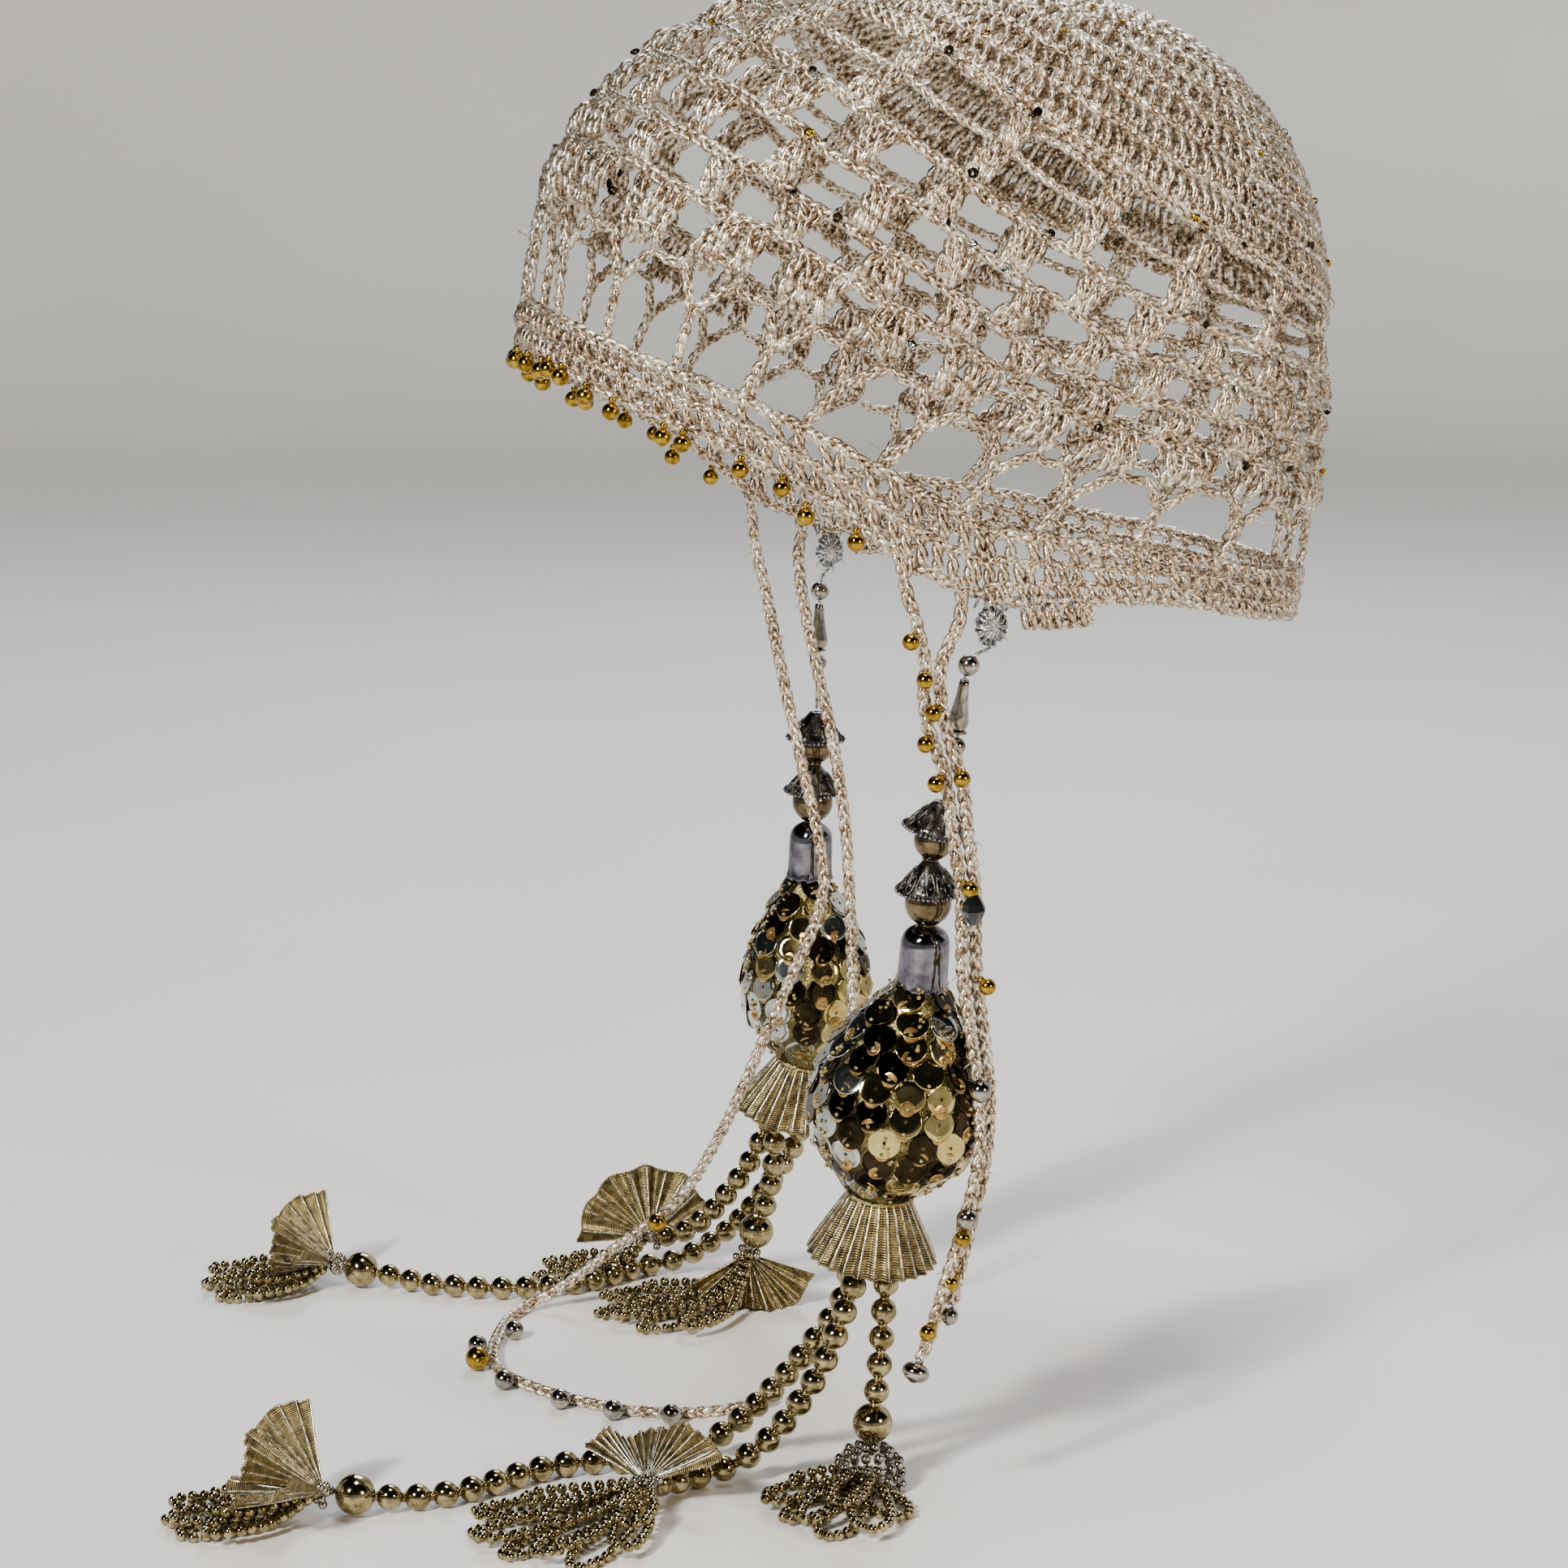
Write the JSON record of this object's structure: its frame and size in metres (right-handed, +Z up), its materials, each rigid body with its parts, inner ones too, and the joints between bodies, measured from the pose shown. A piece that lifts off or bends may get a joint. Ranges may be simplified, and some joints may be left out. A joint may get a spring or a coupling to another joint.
{
  "type": "crochet headpiece",
  "caption": "Openwork crochet cap with a ladder band, tie cords and long side drops of filigree caps, sequinned bodies, pleated skirts and strings of beads.",
  "frame": {"origin": "inside of the crown at its highest point, where the cap sits on a head", "axes": "+Z up, -Y the way the wearer looks, +X towards the wearer's left ear"},
  "size_m": [0.2474, 0.2977, 0.3665],
  "materials": {
    "metallic_yarn": "crocheted metallic yarn, champagne, beige and silver",
    "silver_thread": "darned silver thread",
    "gold_plate": "gold plated",
    "pale_gold_bead": "metallised, pale gold",
    "silver_bead": "metallised, silver",
    "silver_cup": "polished silver plate",
    "dark_brass": "polished, dark",
    "antique_filigree": "oxidised silver plate",
    "gold_sequin": "sewn over with gold mirror sequins",
    "pleated_lame": "pleated gold and silver lame",
    "dark_crystal": "faceted, dark"
  },
  "bodies": {
    "root": {"crown_net": "metallic_yarn", "front_band": "metallic_yarn", "nape_band": "metallic_yarn", "ear_flap_left": "metallic_yarn", "ear_flap_right": "metallic_yarn", "ear_knot_left": "silver_thread", "ear_knot_right": "silver_thread", "near_tie_front": "metallic_yarn", "near_tie_rear": "metallic_yarn", "far_tie_front": "metallic_yarn", "far_tie_rear": "metallic_yarn", "near_crystal": "dark_crystal", "near_silver_bead": "silver_bead", "near_silver_ball": "silver_bead", "near_end_ball": "silver_bead", "near_wide_end_ball": "silver_bead", "far_orange_bead": "gold_plate", "far_gold_bead": "gold_plate", "far_silver_bead_1": "silver_bead", "far_silver_bead_2": "silver_bead", "far_silver_bead_3": "silver_bead", "far_silver_bead_4": "silver_bead", "far_silver_bead_5": "silver_bead", "far_silver_bead_6": "silver_bead", "far_end_ball": "silver_bead", "near_drop_chain": "silver_bead", "near_filigree_upper": "antique_filigree", "near_ball_upper": "dark_brass", "near_filigree_lower": "antique_filigree", "near_ball_lower": "dark_brass", "near_bell_cup": "silver_cup", "near_drop_body": "gold_sequin", "near_drop_skirt": "pleated_lame", "far_drop_chain": "silver_bead", "far_filigree_upper": "antique_filigree", "far_ball_upper": "dark_brass", "far_filigree_lower": "antique_filigree", "far_ball_lower": "dark_brass", "far_bell_cup": "silver_cup", "far_drop_body": "gold_sequin", "far_drop_skirt": "pleated_lame", "near_string_1": "pale_gold_bead", "near_string_2": "pale_gold_bead", "near_string_3": "pale_gold_bead", "far_string_1": "pale_gold_bead", "far_string_2": "pale_gold_bead", "far_string_3": "pale_gold_bead", "near_tassel_1": "pleated_lame", "near_tassel_2": "pleated_lame", "near_tassel_3": "pleated_lame", "far_tassel_1": "pleated_lame", "far_tassel_2": "pleated_lame", "far_tassel_3": "pleated_lame"}
  },
  "joints": []
}
